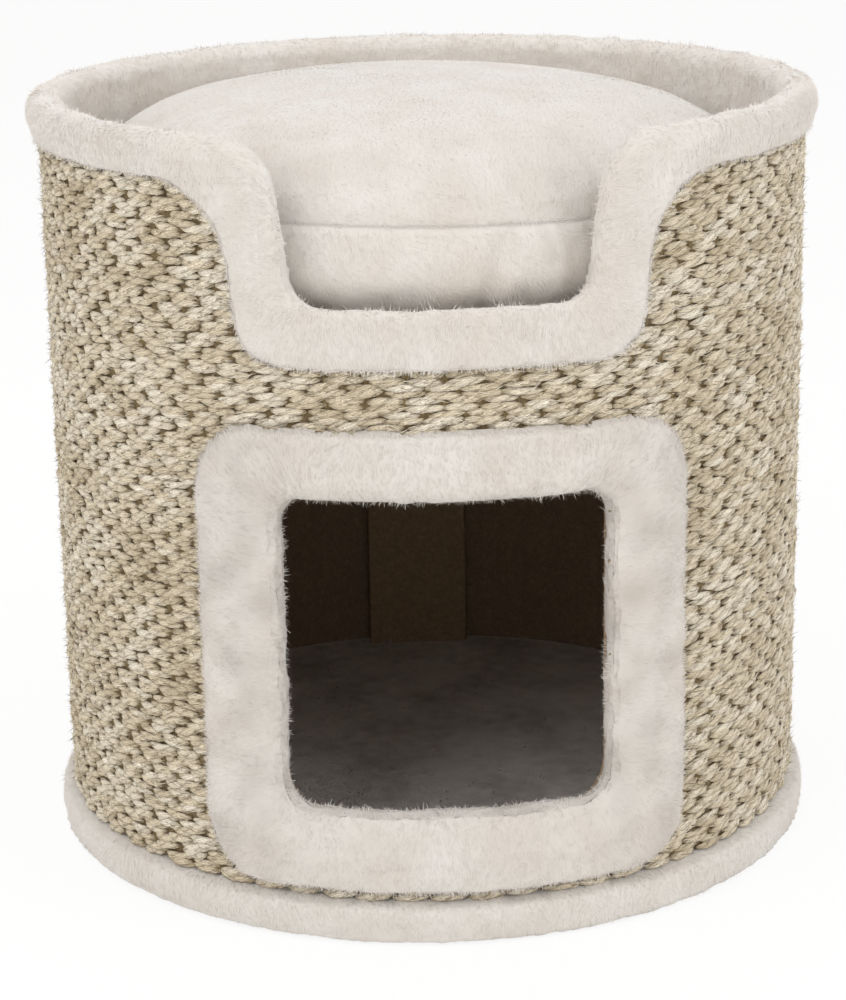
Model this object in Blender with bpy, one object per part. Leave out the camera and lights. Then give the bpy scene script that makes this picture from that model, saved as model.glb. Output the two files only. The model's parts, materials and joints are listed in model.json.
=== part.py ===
"""A round cat play tower: a plush-covered base, a bent board wall wrapped in sisal with a doorway, and a
plush-bound tray on top that holds a loose round cushion. Metres, +Z up, front towards -Y, origin on the
floor under the middle."""

import math

import bmesh
import bpy
from mathutils import Matrix, Vector

# Play between pieces that touch
GAP = 0.0003

# Bent board wall, with the sisal glued round it
SHELL_RADIUS = 0.1810
SHELL_THICKNESS = 0.0040
SHELL_HEIGHT = 0.3510
SEAM_WIDTH = 0.0006
SISAL_THICKNESS = 0.0047

# Base board and the plush wrapped round it
BASE_LEDGE = 0.0050
BASE_BOARD_THICKNESS = 0.0150
BASE_EDGE_PLUSH = 0.0050
BASE_TOP_PLUSH = 0.0030
BASE_HEM_THICKNESS = 0.0022
BASE_HEM_WIDTH = 0.0300

# Shelf that is the roof of the cave and the floor of the tray
SHELF_DROP = 0.0080
SHELF_BOARD_THICKNESS = 0.0120
SHELF_EDGE_PLUSH = 0.0027
SHELF_TOP_PLUSH = 0.0030
SHELF_HEM_THICKNESS = 0.0020
SHELF_HEM_WIDTH = 0.0220

# Battens inside the wall. The one at the back covers the seam of the board.
BATTEN_WIDTH = 0.0570
BATTEN_THICKNESS = 0.0090
BATTEN_ROUNDING = 0.0012
BATTEN_TURNS = {"back_batten": 180.0, "left_batten": -60.0, "right_batten": 60.0}

# Folded plush bands. Towards its border a band rounds off to a lip: the share of its width that the
# rounding takes, and the share of its thickness that is left at the border.
PLUSH_THICKNESS = 0.0075
LINING_THICKNESS = 0.0060
LIP_WIDTH_SHARE = 0.16
LIP_EDGE_SHARE = 0.45

# Doorway, measured on the board along the arc of the sisal's face
DOOR_WIDTH = 0.1600
DOOR_SILL = 0.0400
DOOR_CORNER = 0.0200
DOOR_SIDE_BAND = 0.0400
DOOR_TOP_BAND = 0.0242
DOOR_SILL_BAND = 0.0367
DOOR_BAND_CORNER = 0.0300
DOOR_INNER_BAND = 0.0250

# Bare sisal between the doorway's band and the notch's band
SISAL_STRIP = 0.0256

# Step-in notch in the rim
NOTCH_WIDTH = 0.1500
NOTCH_DEPTH = 0.0754
NOTCH_FLARE = 0.0100
NOTCH_LOW_CORNER = 0.0205
NOTCH_HIGH_CORNER = 0.0240
NOTCH_SIDE_BAND = 0.0195
NOTCH_LOW_BAND = 0.0222
RIM_BAND = 0.0170
NOTCH_BAND_LOW_CORNER = 0.0220
NOTCH_BAND_HIGH_CORNER = 0.0380

# Cushion
CUSHION_PLAY = 0.0047
CUSHION_BAND_HEIGHT = 0.0380
CUSHION_LOWER_ROUNDING = 0.0115
CUSHION_FOOT_INSET = 0.0280
CUSHION_BULGE = 0.0035
CUSHION_CROWN = 0.0415
CUSHION_SHOULDER = 0.8
CUSHION_DOME = 1.2
CUSHION_PUCKER = 0.0010
CUSHION_PUCKERS = 15

# How full the wrapped edges of base and shelf are: 1 is a half ellipse, less is squarer
WRAP_FULLNESS = 0.6

# Countersunk screws
SCREW_RADIUS = 0.00175
SCREW_HEAD_RADIUS = 0.0035
SCREW_HEAD_DEPTH = 0.0022
SCREW_HEAD_RIM = 0.0004
BASE_SCREW_BITE = 0.0210
BATTEN_SCREW_BITE = 0.0065
SHELF_SCREW_BITE = 0.0180
BATTEN_SCREW_INSET = 0.0350
SHELF_SCREW_TURNS = (-150.0, -90.0, -30.0, 30.0, 90.0, 150.0)

# Facets of a full turn, of a rounded corner and of a wrapped edge
TURN_STEPS = 72
CUSHION_STEPS = 60
SCREW_STEPS = 10
CORNER_STEPS = 4
BASE_WRAP_STEPS = 8
SHELF_WRAP_STEPS = 4

# Runs between the corners of the doorway, from its sill round, and along the notch and the rim
DOOR_RUNS = (12, 2, 12, 2)
NOTCH_RUNS = (2, 10, 2)
RIM_RUNS = 30

# Points of a mesh nearer than this are one point
WELD = 1e-6

# Edges sharper than this, in degrees, stay sharp
BOARD_CREASE = 40.0
BAND_CREASE = 60.0
CUSHION_CREASE = 25.0

# Radii of the wall's layers
SHELL_FACE = SHELL_RADIUS + SHELL_THICKNESS
SISAL_BACK = SHELL_FACE + GAP
WALL_RADIUS = SISAL_BACK + SISAL_THICKNESS
BAND_BACK = WALL_RADIUS + GAP
BAND_FACE = BAND_BACK + PLUSH_THICKNESS
LINING_BACK = SHELL_RADIUS - GAP
LINING_FACE = LINING_BACK - LINING_THICKNESS
HALF_TURN = math.pi * WALL_RADIUS

# Heights of the base
BASE_BOARD_Z = BASE_HEM_THICKNESS + GAP
BASE_COVER_Z = BASE_BOARD_Z + BASE_BOARD_THICKNESS + GAP
BASE_TOP_Z = BASE_COVER_Z + BASE_TOP_PLUSH
WALL_FOOT_Z = BASE_TOP_Z + GAP
BASE_RADIUS = WALL_RADIUS + BASE_LEDGE
BASE_BOARD_RADIUS = BASE_RADIUS - BASE_EDGE_PLUSH - GAP

# Heights of the wall's cut-outs
RIM_Z = WALL_FOOT_Z + SHELL_HEIGHT
NOTCH_Z = RIM_Z - NOTCH_DEPTH
DOOR_LOW_Z = WALL_FOOT_Z + DOOR_SILL
DOOR_HIGH_Z = NOTCH_Z - NOTCH_LOW_BAND - SISAL_STRIP - DOOR_TOP_BAND

# Heights of the shelf
TRAY_Z = NOTCH_Z - SHELF_DROP
SHELF_COVER_Z = TRAY_Z - SHELF_TOP_PLUSH
SHELF_BOARD_Z = SHELF_COVER_Z - GAP - SHELF_BOARD_THICKNESS
SHELF_UNDER_Z = SHELF_BOARD_Z - GAP - SHELF_HEM_THICKNESS
SHELF_BOARD_RADIUS = SHELL_RADIUS - SHELF_EDGE_PLUSH - 2 * GAP
SHELF_SCREW_Z = SHELF_BOARD_Z + SHELF_BOARD_THICKNESS / 2

# Battens stand between the base's plush and the shelf's hem, their long edges against the wall
BATTEN_HEIGHT = SHELF_UNDER_Z - GAP - WALL_FOOT_Z
BATTEN_BACK = math.sqrt(LINING_BACK**2 - (BATTEN_WIDTH / 2) ** 2)
BATTEN_MIDDLE = BATTEN_BACK - BATTEN_THICKNESS / 2

# Screws start just under the face that they go in through, and bite into the piece behind
SCREW_HEAD_ROOM = BASE_HEM_THICKNESS + 3 * GAP
BASE_SCREW_Z = BASE_BOARD_Z + GAP
WALL_SCREW_RADIUS = SHELL_FACE - GAP
BASE_SCREW_LENGTH = WALL_FOOT_Z - BASE_SCREW_Z + BASE_SCREW_BITE
BATTEN_SCREW_LENGTH = WALL_SCREW_RADIUS - BATTEN_BACK + BATTEN_SCREW_BITE
SHELF_SCREW_LENGTH = WALL_SCREW_RADIUS - SHELF_BOARD_RADIUS + SHELF_SCREW_BITE


def remove_everything():
    for thing in list(bpy.data.objects):
        bpy.data.objects.remove(thing, do_unlink=True)


def linear(channel):
    return channel / 12.92 if channel <= 0.04045 else ((channel + 0.055) / 1.055) ** 2.4


def material(name, colour, roughness, metallic=0.0):
    """A Principled material from a six-digit sRGB colour."""
    made = bpy.data.materials.new(name)
    made.use_nodes = True
    shader = made.node_tree.nodes["Principled BSDF"]
    channels = [linear(int(colour[i : i + 2], 16) / 255) for i in (0, 2, 4)]
    shader.inputs["Base Color"].default_value = (*channels, 1.0)
    shader.inputs["Roughness"].default_value = roughness
    shader.inputs["Metallic"].default_value = metallic
    made.diffuse_color = (*channels, 1.0)
    return made


def cream_plush():
    return material("cream_plush", "E2D8CE", 0.95)


def sisal_weave():
    return material("sisal_weave", "CDBB98", 0.9)


def brown_board():
    return material("brown_board", "6F5D4A", 0.8)


def pale_board():
    return material("pale_board", "B59B76", 0.75)


def zinc_steel():
    return material("zinc_steel", "B9BABA", 0.35, 1.0)


def add_object(name, mesh, finish=None, crease=BOARD_CREASE):
    """An object in the scene, shaded smooth up to the crease angle in degrees."""
    mesh.shade_smooth()
    mesh.set_sharp_from_angle(angle=math.radians(crease))
    if finish:
        mesh.materials.append(finish)
    made = bpy.data.objects.new(name, mesh)
    bpy.context.scene.collection.objects.link(made)
    return made


def mesh_from(name, bm):
    bmesh.ops.recalc_face_normals(bm, faces=bm.faces)
    mesh = bpy.data.meshes.new(name)
    bm.to_mesh(mesh)
    bm.free()
    return mesh


def on_wall(turn, radius, z):
    """A point at an angle in radians from the front, positive towards +X."""
    return Vector((radius * math.sin(turn), -radius * math.cos(turn), z))


def turned(name, profile, steps=TURN_STEPS):
    """A mesh turned about Z from a half profile of (radius, z) whose two ends lie on the axis."""
    bm = bmesh.new()
    points = [bm.verts.new((radius, 0.0, z)) for radius, z in profile]
    edges = [bm.edges.new(pair) for pair in zip(points, points[1:])]
    bmesh.ops.spin(
        bm,
        geom=points + edges,
        cent=(0.0, 0.0, 0.0),
        axis=(0.0, 0.0, 1.0),
        angle=math.tau,
        steps=steps,
    )
    bmesh.ops.remove_doubles(bm, verts=bm.verts, dist=WELD)
    return mesh_from(name, bm)


def lofted_ring(name, sections):
    """A closed tube through closed sections that all have the same number of points. Its quads are
    split along their shorter diagonal, so that they keep to the round of the wall."""
    bm = bmesh.new()
    rings = [[bm.verts.new(point) for point in section] for section in sections]
    count = len(rings[0])
    for ring, following in zip(rings, rings[1:] + rings[:1]):
        for i in range(count):
            j = (i + 1) % count
            bm.faces.new((ring[i], ring[j], following[j], following[i]))
    bmesh.ops.triangulate(bm, faces=bm.faces, quad_method="SHORT_EDGE")
    return mesh_from(name, bm)


def corner_arc(before, corner, after, radius, steps):
    """Points of the arc of a given radius that rounds one corner of a flat outline."""
    into = (Vector(before) - Vector(corner)).normalized()
    away = (Vector(after) - Vector(corner)).normalized()
    half = into.angle(away) / 2
    centre = Vector(corner) + (into + away).normalized() * (radius / math.sin(half))
    start = Vector(corner) + into * (radius / math.tan(half)) - centre
    end = Vector(corner) + away * (radius / math.tan(half)) - centre
    sweep = start.angle_signed(end)
    turns = [Matrix.Rotation(-sweep * i / steps, 2) for i in range(steps + 1)]
    return [centre + turn @ start for turn in turns]


def spaced(start, end, runs):
    """The points strictly between two others, in equal runs."""
    return [start.lerp(end, i / runs) for i in range(1, runs)]


def doorway_outline(out=0.0, runs=DOOR_RUNS, sides=None, corner=DOOR_CORNER):
    """The doorway's outline of (arc, z), grown by out, or by the four widths in sides."""
    side, low, high = sides or (out, out, out)
    radius = corner if sides else corner + out
    right = DOOR_WIDTH / 2 + side
    bottom, top = DOOR_LOW_Z - low, DOOR_HIGH_Z + high
    corners = [(-right, bottom), (right, bottom), (right, top), (-right, top)]
    arcs = [
        corner_arc(corners[i - 1], corners[i], corners[(i + 1) % 4], radius, CORNER_STEPS)
        for i in range(4)
    ]
    points = []
    for i, arc in enumerate(arcs):
        points += arc + spaced(arc[-1], arcs[(i + 1) % 4][0], runs[i])
    return points


def rim_outline(out=0.0, sides=None, corners=None, rim_runs=RIM_RUNS):
    """The rim's line of (arc, z) from the back, down through the notch and round to the back again."""
    side, low, high = sides or (out, out, out)
    low_radius, high_radius = corners or (NOTCH_LOW_CORNER + out, NOTCH_HIGH_CORNER - out)
    foot, mouth = NOTCH_WIDTH / 2 + side, NOTCH_WIDTH / 2 + NOTCH_FLARE + side
    floor, rim = NOTCH_Z - low, RIM_Z - high
    left_half = [(-HALF_TURN, rim), (-mouth, rim), (-foot, floor)]
    line = left_half + [(-arc, z) for arc, z in reversed(left_half)]
    radii = (high_radius, low_radius, low_radius, high_radius)
    arcs = [
        corner_arc(line[i], line[i + 1], line[i + 2], radii[i], CORNER_STEPS) for i in range(4)
    ]
    points = [Vector(line[0])] + spaced(Vector(line[0]), arcs[0][0], rim_runs)
    for arc, following, runs in zip(arcs, arcs[1:], NOTCH_RUNS):
        points += arc + spaced(arc[-1], following[0], runs)
    return points + arcs[3] + spaced(arcs[3][-1], Vector(line[5]), rim_runs)


def folded_band(name, edge, crest, outer, inner):
    """Plush folded over an edge of the wall. Each line has one (arc, z) point for every section: the
    board's edge, the crest of the fold, the band's border on the sisal and its border inside."""
    middle, half = (BAND_FACE + LINING_FACE) / 2, (BAND_FACE - LINING_FACE) / 2
    clear = GAP / (GAP + PLUSH_THICKNESS)
    eighth = math.pi / 4
    lip = [
        (
            1 - LIP_WIDTH_SHARE * (1 - math.cos(eighth * i)),
            LIP_EDGE_SHARE + (1 - LIP_EDGE_SHARE) * math.sin(eighth * i),
        )
        for i in range(3)
    ]
    face = lip + [((1 - LIP_WIDTH_SHARE) / 2, 1.0), (0.0, 1.0)]
    round_top = [eighth * i for i in (1, 2, 3)]
    thirds = (1 / 3, 2 / 3)
    sections = []
    for e, c, o, n in zip(edge, crest, outer, inner):
        shape = [(e.lerp(o, v), BAND_BACK + h * PLUSH_THICKNESS) for v, h in face]
        shape += [(e.lerp(c, math.sin(a)), middle + half * math.cos(a)) for a in round_top]
        shape += [(e.lerp(n, v), LINING_FACE) for v in (0.0, *thirds, 1.0)]
        shape += [(e.lerp(n, v), LINING_BACK) for v in (1.0, *reversed(thirds))]
        shape += [(e.lerp(c, clear), LINING_BACK), (e.lerp(c, clear), BAND_BACK)]
        shape += [(e.lerp(o, v), BAND_BACK) for v in (*thirds, 1.0)]
        sections.append([on_wall(p.x / WALL_RADIUS, radius, p.y) for p, radius in shape])
    return lofted_ring(name, sections)


def flat_prism(name, outline, depth):
    """A guide body with a flat outline in X and Z, as deep as given on both sides of Y = 0."""
    bm = bmesh.new()
    face = bm.faces.new([bm.verts.new((p.x, -depth, p.y)) for p in outline])
    grown = bmesh.ops.extrude_face_region(bm, geom=[face])
    moved = [v for v in grown["geom"] if isinstance(v, bmesh.types.BMVert)]
    bmesh.ops.translate(bm, verts=moved, vec=(0.0, 2 * depth, 0.0))
    return hidden(add_object(name, mesh_from(name, bm)))


def hidden(cutter):
    cutter.hide_render = True
    cutter.display_type = "WIRE"
    return cutter


def cut(body, *cutters):
    for cutter in cutters:
        modifier = body.modifiers.new("cut_" + cutter.name, "BOOLEAN")
        modifier.operation = "DIFFERENCE"
        modifier.solver = "EXACT"
        modifier.object = cutter


def flat_sheet(name, inner, outer):
    """A flat blank, one column for each facet of a turn, whose Y runs from the inner radius out."""
    half = HALF_TURN - SEAM_WIDTH / 2
    top = RIM_Z + NOTCH_HIGH_CORNER
    bm = bmesh.new()
    arcs = [half * (2 * i / TURN_STEPS - 1) for i in range(TURN_STEPS + 1)]
    low = [bm.verts.new((arc, -outer, WALL_FOOT_Z)) for arc in arcs]
    high = [bm.verts.new((arc, -outer, top)) for arc in arcs]
    faces = [bm.faces.new((low[i], low[i + 1], high[i + 1], high[i])) for i in range(TURN_STEPS)]
    grown = bmesh.ops.extrude_face_region(bm, geom=faces)
    moved = [v for v in grown["geom"] if isinstance(v, bmesh.types.BMVert)]
    bmesh.ops.translate(bm, verts=moved, vec=(0.0, outer - inner, 0.0))
    return add_object(name, mesh_from(name, bm))


def bent(name, blank):
    """The blank's mesh, cut flat and then bent round so that each column is one facet."""
    step = (2 * HALF_TURN - SEAM_WIDTH) / TURN_STEPS
    start = SEAM_WIDTH / 2 - HALF_TURN
    graph = bpy.context.evaluated_depsgraph_get()
    mesh = bpy.data.meshes.new_from_object(blank.evaluated_get(graph))
    mesh.name = name
    for vertex in mesh.vertices:
        arc, radius, z = vertex.co.x, -vertex.co.y, vertex.co.z
        column = min(max(math.floor((arc - start) / step), 0), TURN_STEPS - 1)
        share = (arc - start) / step - column
        before = on_wall((start + column * step) / WALL_RADIUS, radius, z)
        after = on_wall((start + (column + 1) * step) / WALL_RADIUS, radius, z)
        vertex.co = before.lerp(after, share)
    return mesh


def wall_cutters():
    """Flat guides for the doorway and for everything above the rim and its notch."""
    depth = 2 * WALL_RADIUS
    rim = rim_outline(rim_runs=1)
    above = RIM_Z + 2 * NOTCH_HIGH_CORNER
    ends = [Vector((2 * HALF_TURN, rim[0].y)), Vector((2 * HALF_TURN, above))]
    ends += [Vector((-2 * HALF_TURN, above)), Vector((-2 * HALF_TURN, rim[0].y))]
    doorway = flat_prism("doorway_guide", doorway_outline(runs=(1, 1, 1, 1)), depth)
    return doorway, flat_prism("rim_guide", rim[1:] + ends, depth)


def wall_layer(name, inner, outer, finish):
    blank = flat_sheet(name + "_blank", inner, outer)
    cutters = wall_cutters()
    cut(blank, *cutters)
    made = add_object(name, bent(name, blank), finish)
    for guide in (blank, *cutters):
        bpy.data.objects.remove(guide, do_unlink=True)
    return made


def screw_profile(length, play=0.0, room=0.0):
    """Half profile of a countersunk screw below Z = 0, or that of its hole, with play round it and
    open room over its head."""
    head, shank = SCREW_HEAD_RADIUS + play, SCREW_RADIUS + play
    return [
        (0.0, room),
        (head, room),
        (head, -SCREW_HEAD_RIM),
        (shank, -SCREW_HEAD_DEPTH - play),
        (shank, -length + SCREW_RADIUS * 2 - play),
        (shank / 3, -length - play),
        (0.0, -length - play),
    ]


def screw_holes(name, places, length):
    """One guide body with a countersunk hole at each place."""
    bm = bmesh.new()
    for place in places:
        hole = turned(name, screw_profile(length, GAP, SCREW_HEAD_ROOM), SCREW_STEPS)
        hole.transform(place)
        bm.from_mesh(hole)
        bpy.data.meshes.remove(hole)
    return hidden(add_object(name, mesh_from(name, bm)))


def screws(name, places, length, finish):
    """Separate screws that share one mesh, each with its head at its own place."""
    mesh = turned(name, screw_profile(length), SCREW_STEPS)
    mesh.materials.append(finish)
    made = []
    for i, place in enumerate(places, 1):
        screw = add_object(f"{name}_{i}", mesh)
        screw.matrix_world = place
        made.append(screw)
    return made


def radial_place(turn, z):
    """Where a screw goes in from the board's outer face: its head outward, its point to the axis."""
    outward = on_wall(math.radians(turn), 1.0, 0.0)
    facing = outward.to_track_quat("Z", "Y").to_matrix().to_4x4()
    return Matrix.Translation(on_wall(math.radians(turn), WALL_SCREW_RADIUS, z)) @ facing


def base_screw_places():
    """Up through the base board into the middle of each batten's foot."""
    upward = Matrix.Rotation(math.pi, 4, "X")
    return [
        Matrix.Translation(on_wall(math.radians(turn), BATTEN_MIDDLE, BASE_SCREW_Z)) @ upward
        for turn in BATTEN_TURNS.values()
    ]


def batten_screw_places():
    heights = (WALL_FOOT_Z + BATTEN_SCREW_INSET, WALL_FOOT_Z + BATTEN_HEIGHT - BATTEN_SCREW_INSET)
    return [radial_place(turn, z) for turn in BATTEN_TURNS.values() for z in heights]


def shelf_screw_places():
    return [radial_place(turn, SHELF_SCREW_Z) for turn in SHELF_SCREW_TURNS]


def round_board(name, radius, low, thickness, finish):
    profile = [(0.0, low), (radius, low), (radius, low + thickness), (0.0, low + thickness)]
    return add_object(name, turned(name, profile), finish)


def wrapped_plush(name, board_radius, edge, heights, hem_width, steps, finish):
    """Plush over the top of a round board, round its edge and hemmed beneath. The heights are those of
    the hem's underside, the board's two faces and the plush's top."""
    hem_z, board_low, board_high, top = heights
    middle, half = (top + hem_z) / 2, (top - hem_z) / 2
    wall = board_radius + GAP
    bulge = [math.pi * (0.5 - i / steps) for i in range(steps + 1)]
    profile = [(0.0, top)]
    profile += [
        (wall + edge * abs(math.cos(a)) ** WRAP_FULLNESS, middle + half * math.sin(a)) for a in bulge
    ]
    profile += [(board_radius - hem_width, hem_z), (board_radius - hem_width, board_low - GAP)]
    profile += [(wall, board_low - GAP), (wall, board_high + GAP), (0.0, board_high + GAP)]
    return add_object(name, turned(name, profile), finish)


def batten(name, turn, finish):
    """An upright strip with rounded long edges, its back to the wall."""
    bm = bmesh.new()
    bmesh.ops.create_cube(bm, size=1.0)
    bmesh.ops.scale(bm, vec=(BATTEN_WIDTH, BATTEN_THICKNESS, BATTEN_HEIGHT), verts=bm.verts)
    upright = [e for e in bm.edges if abs(e.verts[0].co.z - e.verts[1].co.z) > BATTEN_HEIGHT / 2]
    bmesh.ops.bevel(bm, geom=upright, offset=BATTEN_ROUNDING, segments=2, affect="EDGES", profile=0.5)
    made = add_object(name, mesh_from(name, bm), finish)
    made.rotation_euler.z = math.radians(turn)
    made.location = on_wall(math.radians(turn), BATTEN_MIDDLE, WALL_FOOT_Z + BATTEN_HEIGHT / 2)
    return made


def door_trim(finish):
    """Plush folded through the doorway, a wide soft frame outside and a narrow band inside."""
    frame = (DOOR_SIDE_BAND, DOOR_SILL_BAND, DOOR_TOP_BAND)
    mesh = folded_band(
        "door_trim",
        doorway_outline(),
        doorway_outline(-GAP - PLUSH_THICKNESS),
        doorway_outline(sides=frame, corner=DOOR_BAND_CORNER),
        doorway_outline(DOOR_INNER_BAND),
    )
    return add_object("door_trim", mesh, finish, crease=BAND_CREASE)


def tray_line(edge):
    """Where the lining meets the shelf under each point of the rim's line, fanned out past the notch."""
    points = []
    for point in edge:
        rise = (point.y - NOTCH_Z) / NOTCH_DEPTH
        room = (HALF_TURN - abs(point.x)) / (HALF_TURN - NOTCH_WIDTH / 2)
        fan = math.copysign(NOTCH_DEPTH * rise * room / 2, point.x)
        points.append(Vector((point.x + fan, TRAY_Z + GAP)))
    return points


def rim_cover(finish):
    """Plush that lines the tray's wall and folds over the rim and the notch onto the sisal."""
    edge = rim_outline()
    mesh = folded_band(
        "rim_cover",
        edge,
        rim_outline(-GAP - PLUSH_THICKNESS),
        rim_outline(
            sides=(NOTCH_SIDE_BAND, NOTCH_LOW_BAND, RIM_BAND),
            corners=(NOTCH_BAND_LOW_CORNER, NOTCH_BAND_HIGH_CORNER),
        ),
        tray_line(edge),
    )
    return add_object("rim_cover", mesh, finish, crease=BAND_CREASE)


def cushion_profile(radius):
    """Half profile of the cushion from its flat foot, up the bulging band and over the crown."""
    seam = radius - CUSHION_BULGE
    foot = seam - CUSHION_FOOT_INSET
    high = CUSHION_LOWER_ROUNDING + CUSHION_BAND_HEIGHT
    quarter = [math.pi / 2 * i / 4 for i in range(4)]
    profile = [(0.0, 0.0)]
    profile += [
        (foot + CUSHION_FOOT_INSET * math.sin(a), CUSHION_LOWER_ROUNDING * (1 - math.cos(a)))
        for a in quarter
    ]
    profile += [
        (
            seam + CUSHION_BULGE * math.sin(math.pi * i / 6),
            CUSHION_LOWER_ROUNDING + CUSHION_BAND_HEIGHT * i / 6,
        )
        for i in range(7)
    ]
    crown = [math.pi / 2 * i / 9 for i in range(1, 9)]
    profile += [
        (
            seam * math.cos(a) ** CUSHION_SHOULDER,
            high + CUSHION_CROWN * math.sin(a) ** CUSHION_DOME,
        )
        for a in crown
    ]
    return profile + [(0.0, high + CUSHION_CROWN)]


def cushion(finish):
    """A boxed round cushion. Its origin is on its underside, where it slides straight up."""
    mesh = turned("cushion", cushion_profile(LINING_FACE - CUSHION_PLAY), CUSHION_STEPS)
    seam = LINING_FACE - CUSHION_PLAY - CUSHION_BULGE
    for vertex in mesh.vertices:
        out = vertex.co.xy.length
        if out > seam:
            wave = 0.5 - 0.5 * math.cos(CUSHION_PUCKERS * math.atan2(vertex.co.y, vertex.co.x))
            share = (out - seam) / CUSHION_BULGE
            vertex.co.xy *= 1 - CUSHION_PUCKER * wave * share / out
    made = add_object("cushion", mesh, finish, crease=CUSHION_CREASE)
    made.location.z = TRAY_Z + GAP
    return made


def build():
    remove_everything()
    plush, sisal, board = cream_plush(), sisal_weave(), brown_board()
    chipboard, steel = pale_board(), zinc_steel()

    base_holes = screw_holes("base_screw_holes", base_screw_places(), BASE_SCREW_LENGTH)
    batten_holes = screw_holes("batten_screw_holes", batten_screw_places(), BATTEN_SCREW_LENGTH)
    shelf_holes = screw_holes("shelf_screw_holes", shelf_screw_places(), SHELF_SCREW_LENGTH)

    base_board = round_board(
        "base_board", BASE_BOARD_RADIUS, BASE_BOARD_Z, BASE_BOARD_THICKNESS, chipboard
    )
    base_cover = wrapped_plush(
        "base_cover",
        BASE_BOARD_RADIUS,
        BASE_EDGE_PLUSH,
        (0.0, BASE_BOARD_Z, BASE_BOARD_Z + BASE_BOARD_THICKNESS, BASE_TOP_Z),
        BASE_HEM_WIDTH,
        BASE_WRAP_STEPS,
        plush,
    )
    cut(base_board, base_holes)
    cut(base_cover, base_holes)

    wall_shell = wall_layer("wall_shell", SHELL_RADIUS, SHELL_FACE, board)
    sisal_cover = wall_layer("sisal_cover", SISAL_BACK, WALL_RADIUS, sisal)
    cut(wall_shell, batten_holes, shelf_holes)

    battens = [batten(name, turn, board) for name, turn in BATTEN_TURNS.items()]
    for strip in battens:
        cut(strip, base_holes, batten_holes)

    shelf_board = round_board(
        "shelf_board", SHELF_BOARD_RADIUS, SHELF_BOARD_Z, SHELF_BOARD_THICKNESS, chipboard
    )
    shelf_cover = wrapped_plush(
        "shelf_cover",
        SHELF_BOARD_RADIUS,
        SHELF_EDGE_PLUSH,
        (SHELF_UNDER_Z, SHELF_BOARD_Z, SHELF_BOARD_Z + SHELF_BOARD_THICKNESS, TRAY_Z),
        SHELF_HEM_WIDTH,
        SHELF_WRAP_STEPS,
        plush,
    )
    cut(shelf_board, shelf_holes)
    cut(shelf_cover, shelf_holes)

    fixed = [base_board, base_cover, wall_shell, sisal_cover, *battens, shelf_board, shelf_cover]
    fixed += [door_trim(plush), rim_cover(plush)]
    fixed += screws("base_screw", base_screw_places(), BASE_SCREW_LENGTH, steel)
    fixed += screws("batten_screw", batten_screw_places(), BATTEN_SCREW_LENGTH, steel)
    fixed += screws("shelf_screw", shelf_screw_places(), SHELF_SCREW_LENGTH, steel)

    tower = bpy.data.objects.new("tower", None)
    tray_seat = bpy.data.objects.new("tray_seat", None)
    bpy.context.scene.collection.objects.link(tower)
    bpy.context.scene.collection.objects.link(tray_seat)
    tray_seat.parent = tower
    for piece in fixed:
        piece.parent = tower
    cushion(plush).parent = tray_seat


build()
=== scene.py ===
import json
import math

import bpy
import numpy as np
from mathutils import Matrix, Vector, noise

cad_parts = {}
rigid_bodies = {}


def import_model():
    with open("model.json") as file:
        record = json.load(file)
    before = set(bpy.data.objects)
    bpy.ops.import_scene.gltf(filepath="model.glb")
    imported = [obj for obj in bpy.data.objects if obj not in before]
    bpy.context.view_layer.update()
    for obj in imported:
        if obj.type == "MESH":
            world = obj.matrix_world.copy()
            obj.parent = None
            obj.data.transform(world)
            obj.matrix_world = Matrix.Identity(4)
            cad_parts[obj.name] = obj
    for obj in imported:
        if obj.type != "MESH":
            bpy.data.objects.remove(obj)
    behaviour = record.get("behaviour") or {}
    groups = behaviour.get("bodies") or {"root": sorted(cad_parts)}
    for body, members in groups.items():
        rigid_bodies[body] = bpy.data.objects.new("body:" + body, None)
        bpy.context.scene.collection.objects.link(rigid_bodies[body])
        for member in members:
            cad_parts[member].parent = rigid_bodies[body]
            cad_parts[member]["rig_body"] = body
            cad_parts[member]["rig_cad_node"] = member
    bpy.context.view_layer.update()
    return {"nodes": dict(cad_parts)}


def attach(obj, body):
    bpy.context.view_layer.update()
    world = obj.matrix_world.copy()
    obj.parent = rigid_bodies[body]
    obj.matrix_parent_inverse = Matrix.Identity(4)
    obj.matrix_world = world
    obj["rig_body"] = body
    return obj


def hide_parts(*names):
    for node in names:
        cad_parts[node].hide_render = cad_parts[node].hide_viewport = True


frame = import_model()

# With no seed of its own, noise_vector would start from the clock and differ at each run.
noise.seed_set(1)

# The viewpoint: a long lens in front of the doorway, a little to its left and above the rim.
YAW, PITCH, ROLL = math.radians(2.232), math.radians(16.709), math.radians(-0.973)
VIEWPOINT = (-0.0548, -1.3402, 0.5624)
LENS_MM = 96.92
level = Matrix.Rotation(-YAW, 3, "Z") @ Matrix.Rotation(math.pi / 2 - PITCH, 3, "X")
camera = bpy.data.objects.new("camera", bpy.data.cameras.new("camera"))
camera.data.lens = LENS_MM
camera.data.sensor_width = 36.0
camera.matrix_world = Matrix.LocRotScale(
    Vector(VIEWPOINT), level @ Matrix.Rotation(ROLL, 3, "Z"), None
)
bpy.context.scene.collection.objects.link(camera)
bpy.context.scene.camera = camera


# The studio: a white floor sheet, an even white surround and three large soft lamps. The floor shows the
# camera mostly plain white, and the rest of it is lit, which keeps the object's shadow.
FLOOR_SIZE = 8.0
FLOOR_GLOW = 0.86
ROOM_LIGHT = 0.74
LAMP_WIDTH = 1.4
LAMP_AIM = Vector((0.0, 0.0, 0.2))
LAMPS = (
    ("soft_lamp_left", (-1.2, -1.3, 1.35), 13.5),
    ("soft_lamp_right", (1.4, -1.1, 1.1), 11.3),
    ("soft_lamp_top", (-0.1, 0.3, 1.9), 7.0),
)


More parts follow.
